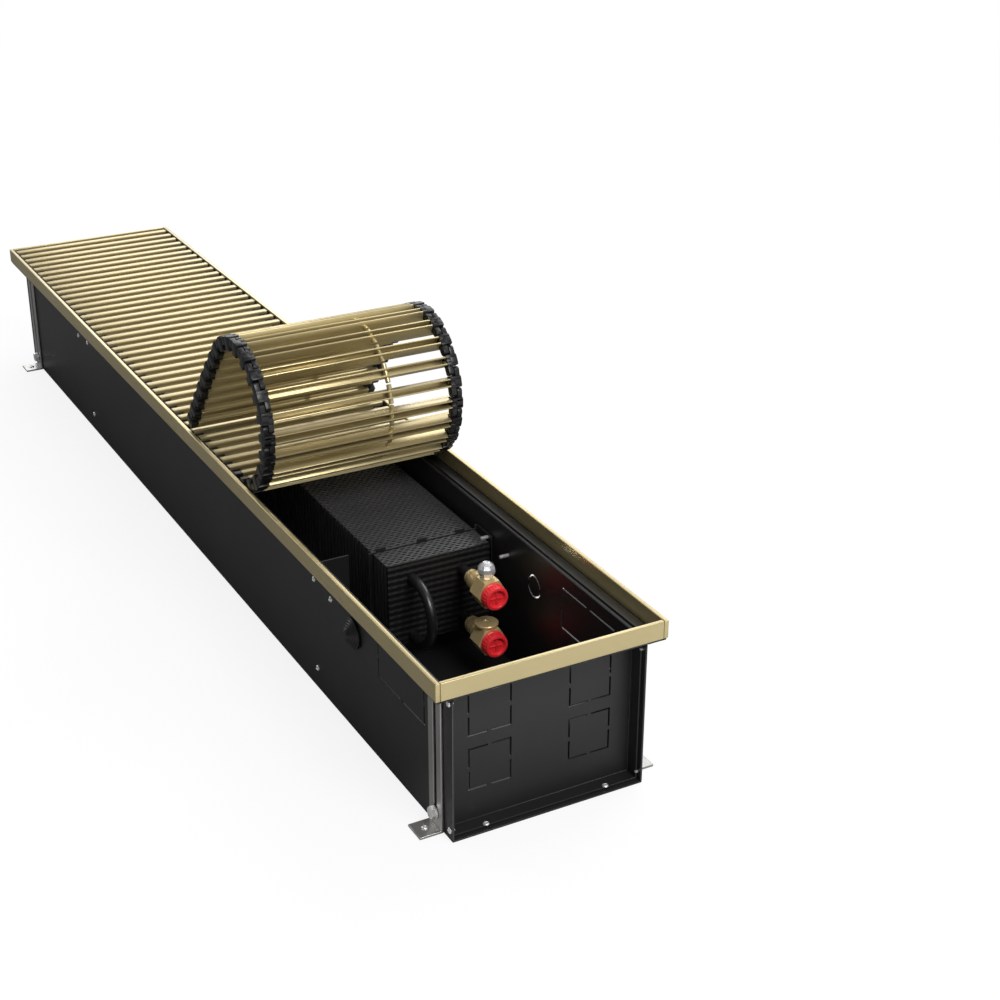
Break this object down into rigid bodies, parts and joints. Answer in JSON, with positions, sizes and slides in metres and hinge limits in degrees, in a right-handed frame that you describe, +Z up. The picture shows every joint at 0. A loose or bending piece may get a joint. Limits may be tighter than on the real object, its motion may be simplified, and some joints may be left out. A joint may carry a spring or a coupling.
{
  "type": "trench convector heater",
  "caption": "Floor trough convector with a finned heat exchanger, anodised rim, slotted feet and a roll-up slatted grille that lies partly rolled back.",
  "frame": {"origin": "middle of the bounding box's underside, on the floor under the middle of the trough", "axes": "+Z up; the trough runs along Y and its open end faces -Y; +X is to the right seen from the open end"},
  "size_m": [0.2736, 1.5, 0.3613],
  "materials": {
    "coated_steel": "black satin powder coat",
    "anodised_rim": "light gold anodised, satin",
    "anodised_bars": "light gold anodised, satin",
    "chain_plastic": "black moulded plastic",
    "seat_rubber": "matt black",
    "fin_coating": "black coated fins",
    "coated_tube": "black coated copper tube",
    "brass": "machined, nickel free",
    "vent_chrome": "bright plated",
    "cap_plastic": "red moulded plastic",
    "grommet_rubber": "matt black, stepped",
    "foot_steel": "stainless, satin",
    "bolt_steel": "zinc plated"
  },
  "bodies": {
    "trough": {"trough_base": "coated_steel", "side_wall_right": "coated_steel", "side_wall_left": "coated_steel", "end_plate_front": "coated_steel", "end_plate_rear": "coated_steel", "rim_rail_right": "anodised_rim", "rim_rail_left": "anodised_rim", "rim_rail_front": "anodised_rim", "rim_rail_rear": "anodised_rim", "seat_strip_right": "seat_rubber", "seat_strip_left": "seat_rubber", "fin_pack_front": "fin_coating", "fin_pack_main": "fin_coating", "fin_pack_rear": "fin_coating", "hairpin_tube_upper": "coated_tube", "hairpin_tube_lower": "coated_tube", "return_bend": "coated_tube", "support_bracket_front": "coated_steel", "support_bracket_rear": "coated_steel", "pipe_union_upper": "brass", "pipe_union_lower": "brass", "blind_plug": "brass", "cable_grommet": "grommet_rubber", "clamp_bolt_front_right": "bolt_steel", "clamp_bolt_front_left": "bolt_steel", "clamp_bolt_rear_right": "bolt_steel", "clamp_bolt_rear_left": "bolt_steel"},
    "grille": {"grille_flat_bars": "anodised_bars", "grille_flat_chain_right": "chain_plastic", "grille_flat_chain_left": "chain_plastic"},
    "link_01": {"grille_link_01": "anodised_bars"},
    "link_02": {"grille_link_02": "anodised_bars"},
    "link_03": {"grille_link_03": "anodised_bars"},
    "link_04": {"grille_link_04": "anodised_bars"},
    "link_05": {"grille_link_05": "anodised_bars"},
    "link_06": {"grille_link_06": "anodised_bars"},
    "link_07": {"grille_link_07": "anodised_bars"},
    "link_08": {"grille_link_08": "anodised_bars"},
    "link_09": {"grille_link_09": "anodised_bars"},
    "link_10": {"grille_link_10": "anodised_bars"},
    "link_11": {"grille_link_11": "anodised_bars"},
    "link_12": {"grille_link_12": "anodised_bars"},
    "link_13": {"grille_link_13": "anodised_bars"},
    "link_14": {"grille_link_14": "anodised_bars"},
    "link_15": {"grille_link_15": "anodised_bars"},
    "link_16": {"grille_link_16": "anodised_bars"},
    "link_17": {"grille_link_17": "anodised_bars"},
    "link_18": {"grille_link_18": "anodised_bars"},
    "link_19": {"grille_link_19": "anodised_bars"},
    "link_20": {"grille_link_20": "anodised_bars"},
    "link_21": {"grille_link_21": "anodised_bars"},
    "link_22": {"grille_link_22": "anodised_bars"},
    "cap_upper": {"protective_cap_upper": "cap_plastic"},
    "cap_lower": {"protective_cap_lower": "cap_plastic"},
    "air_vent": {"air_vent": "vent_chrome"},
    "foot_front_right": {"foot_front_right": "foot_steel"},
    "foot_front_left": {"foot_front_left": "foot_steel"},
    "foot_rear_right": {"foot_rear_right": "foot_steel"},
    "foot_rear_left": {"foot_rear_left": "foot_steel"}
  },
  "joints": [
    {"name": "grille_lift", "type": "slide", "parent": "trough", "child": "grille", "axis": [0, 0, 1], "range_m": [0, 0.12]},
    {"name": "roll_01", "type": "hinge", "parent": "grille", "child": "link_01", "pos_m": [0, -0.2074, 0.179], "axis": [1, 0, 0], "range_deg": [0, 5]},
    {"name": "roll_02", "type": "hinge", "parent": "link_01", "child": "link_02", "pos_m": [0, -0.23171, 0.18113], "axis": [1, 0, 0], "range_deg": [0, 5]},
    {"name": "roll_03", "type": "hinge", "parent": "link_02", "child": "link_03", "pos_m": [0, -0.25574, 0.18536], "axis": [1, 0, 0], "range_deg": [0, 16]},
    {"name": "roll_04", "type": "hinge", "parent": "link_03", "child": "link_04", "pos_m": [0, -0.27767, 0.19606], "axis": [1, 0, 0], "range_deg": [0, 16]},
    {"name": "roll_05", "type": "hinge", "parent": "link_04", "child": "link_05", "pos_m": [0, -0.2958, 0.21239], "axis": [1, 0, 0], "range_deg": [0, 16]},
    {"name": "roll_06", "type": "hinge", "parent": "link_05", "child": "link_06", "pos_m": [0, -0.30873, 0.23308], "axis": [1, 0, 0], "range_deg": [0, 16]},
    {"name": "roll_07", "type": "hinge", "parent": "link_06", "child": "link_07", "pos_m": [0, -0.31545, 0.25653], "axis": [1, 0, 0], "range_deg": [0, 16]},
    {"name": "roll_08", "type": "hinge", "parent": "link_07", "child": "link_08", "pos_m": [0, -0.31545, 0.28093], "axis": [1, 0, 0], "range_deg": [0, 16]},
    {"name": "roll_09", "type": "hinge", "parent": "link_08", "child": "link_09", "pos_m": [0, -0.30873, 0.30439], "axis": [1, 0, 0], "range_deg": [0, 16]},
    {"name": "roll_10", "type": "hinge", "parent": "link_09", "child": "link_10", "pos_m": [0, -0.2958, 0.32508], "axis": [1, 0, 0], "range_deg": [0, 16]},
    {"name": "roll_11", "type": "hinge", "parent": "link_10", "child": "link_11", "pos_m": [0, -0.27767, 0.34141], "axis": [1, 0, 0], "range_deg": [0, 16]},
    {"name": "roll_12", "type": "hinge", "parent": "link_11", "child": "link_12", "pos_m": [0, -0.25574, 0.3521], "axis": [1, 0, 0], "range_deg": [0, 18]},
    {"name": "roll_13", "type": "hinge", "parent": "link_12", "child": "link_13", "pos_m": [0, -0.23157, 0.3555], "axis": [1, 0, 0], "range_deg": [0, 18]},
    {"name": "roll_14", "type": "hinge", "parent": "link_13", "child": "link_14", "pos_m": [0, -0.20755, 0.35126], "axis": [1, 0, 0], "range_deg": [0, 18]},
    {"name": "roll_15", "type": "hinge", "parent": "link_14", "child": "link_15", "pos_m": [0, -0.186, 0.33981], "axis": [1, 0, 0], "range_deg": [0, 18]},
    {"name": "roll_16", "type": "hinge", "parent": "link_15", "child": "link_16", "pos_m": [0, -0.16905, 0.32226], "axis": [1, 0, 0], "range_deg": [0, 1]},
    {"name": "roll_17", "type": "hinge", "parent": "link_16", "child": "link_17", "pos_m": [0, -0.15241, 0.30441], "axis": [1, 0, 0], "range_deg": [0, 1]},
    {"name": "roll_18", "type": "hinge", "parent": "link_17", "child": "link_18", "pos_m": [0, -0.13608, 0.28628], "axis": [1, 0, 0], "range_deg": [0, 1]},
    {"name": "roll_19", "type": "hinge", "parent": "link_18", "child": "link_19", "pos_m": [0, -0.12008, 0.26786], "axis": [1, 0, 0], "range_deg": [0, 1]},
    {"name": "roll_20", "type": "hinge", "parent": "link_19", "child": "link_20", "pos_m": [0, -0.10439, 0.24917], "axis": [1, 0, 0], "range_deg": [0, 1]},
    {"name": "roll_21", "type": "hinge", "parent": "link_20", "child": "link_21", "pos_m": [0, -0.08904, 0.23021], "axis": [1, 0, 0], "range_deg": [0, 1]},
    {"name": "roll_22", "type": "hinge", "parent": "link_21", "child": "link_22", "pos_m": [0, -0.07401, 0.21098], "axis": [1, 0, 0], "range_deg": [0, 1]},
    {"name": "cap_upper_pull", "type": "slide", "parent": "trough", "child": "cap_upper", "axis": [0, -1, 0], "range_m": [0, 0.03]},
    {"name": "cap_lower_pull", "type": "slide", "parent": "trough", "child": "cap_lower", "axis": [0, -1, 0], "range_m": [0, 0.03]},
    {"name": "vent_turn", "type": "hinge", "parent": "trough", "child": "air_vent", "pos_m": [0.066, -0.486, 0.14], "axis": [0, 0, 1], "range_deg": [0, 180]},
    {"name": "foot_front_right_extend", "type": "slide", "parent": "trough", "child": "foot_front_right", "axis": [0, 0, -1], "range_m": [0, 0.12]},
    {"name": "foot_front_left_extend", "type": "slide", "parent": "trough", "child": "foot_front_left", "axis": [0, 0, -1], "range_m": [0, 0.12]},
    {"name": "foot_rear_right_extend", "type": "slide", "parent": "trough", "child": "foot_rear_right", "axis": [0, 0, -1], "range_m": [0, 0.12]},
    {"name": "foot_rear_left_extend", "type": "slide", "parent": "trough", "child": "foot_rear_left", "axis": [0, 0, -1], "range_m": [0, 0.12]}
  ]
}
